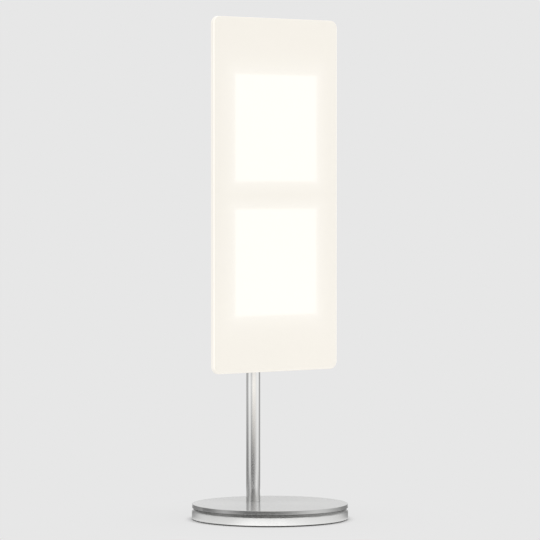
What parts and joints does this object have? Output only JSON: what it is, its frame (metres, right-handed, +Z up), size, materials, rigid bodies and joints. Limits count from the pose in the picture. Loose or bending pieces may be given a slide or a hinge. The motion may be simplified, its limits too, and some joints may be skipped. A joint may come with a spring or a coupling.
{
  "type": "table lamp",
  "caption": "Table lamp: upright frosted light panel with square lit tiles on a slim off-centre stem, standing on a round base whose upper disc turns.",
  "frame": {"origin": "on the floor under the middle of the round base", "axes": "+Z up, the panel's width along X, the lit face looks towards -Y, the stem and the power inlet lie towards +Y"},
  "size_m": [0.136, 0.132, 0.4223],
  "materials": {
    "satin_steel": "satin ground stainless steel",
    "stem_steel": "polished stainless steel tube",
    "fastener": "zinc plated",
    "frosted_acrylic": "satin opal acrylic",
    "lit_tile": "lit flat tile",
    "white_powder": "fine powder coat",
    "anodised": "bead-blasted anodised",
    "bare_aluminium": "mill sheet",
    "black_rubber": "matt",
    "acetal": "turned",
    "white_plastic": "moulded",
    "black_plastic": "moulded",
    "board": "solder mask",
    "foam": "foam",
    "amber_film": "polyimide film",
    "contact_brass": "plated"
  },
  "bodies": {
    "foot": {"foot_disc": "satin_steel", "foot_ring": "black_rubber", "bottom_cover": "bare_aluminium", "cover_screws": "fastener", "glide_ring": "acetal", "friction_washer": "fastener", "foot_board": "board", "foot_board_parts": "black_plastic", "foot_board_screws": "fastener", "power_inlet": "black_plastic", "inlet_contacts": "contact_brass", "foot_lead": "black_plastic"},
    "lamp": {"top_plate": "satin_steel", "spindle": "fastener", "spindle_screws": "fastener", "spindle_nut": "fastener", "stop_pin": "fastener", "stem_tube": "stem_steel", "stem_nut": "fastener", "stem_lead": "black_plastic", "stem_socket": "anodised", "socket_screws": "fastener", "grub_screws": "fastener", "lead_grommet": "black_rubber", "rear_housing": "anodised", "housing_screws": "fastener", "back_plate": "white_powder", "bond_tape": "white_plastic", "diffuser": "frosted_acrylic", "upper_tile": "lit_tile", "lower_tile": "lit_tile", "heat_spreaders": "bare_aluminium", "tile_pads": "foam", "tile_flexes": "amber_film", "driver_board": "board", "driver_chips": "black_plastic", "driver_coils": "black_plastic", "driver_capacitors": "bare_aluminium", "flex_sockets": "black_plastic", "lead_plug": "white_plastic", "driver_screws": "fastener", "push_switch": "black_plastic", "button_bezel": "stem_steel"},
    "button": {"dimmer_button": "satin_steel"}
  },
  "joints": [
    {"name": "lamp_swivel", "type": "hinge", "parent": "foot", "child": "lamp", "pos_m": [0, 0, 0.0092], "axis": [0, 0, 1], "range_deg": [-150, 150]},
    {"name": "button_press", "type": "slide", "parent": "lamp", "child": "button", "axis": [0, -1, 0], "range_m": [0, 0.001], "stiffness_N_per_m": 800, "springref_m": -0.001}
  ]
}
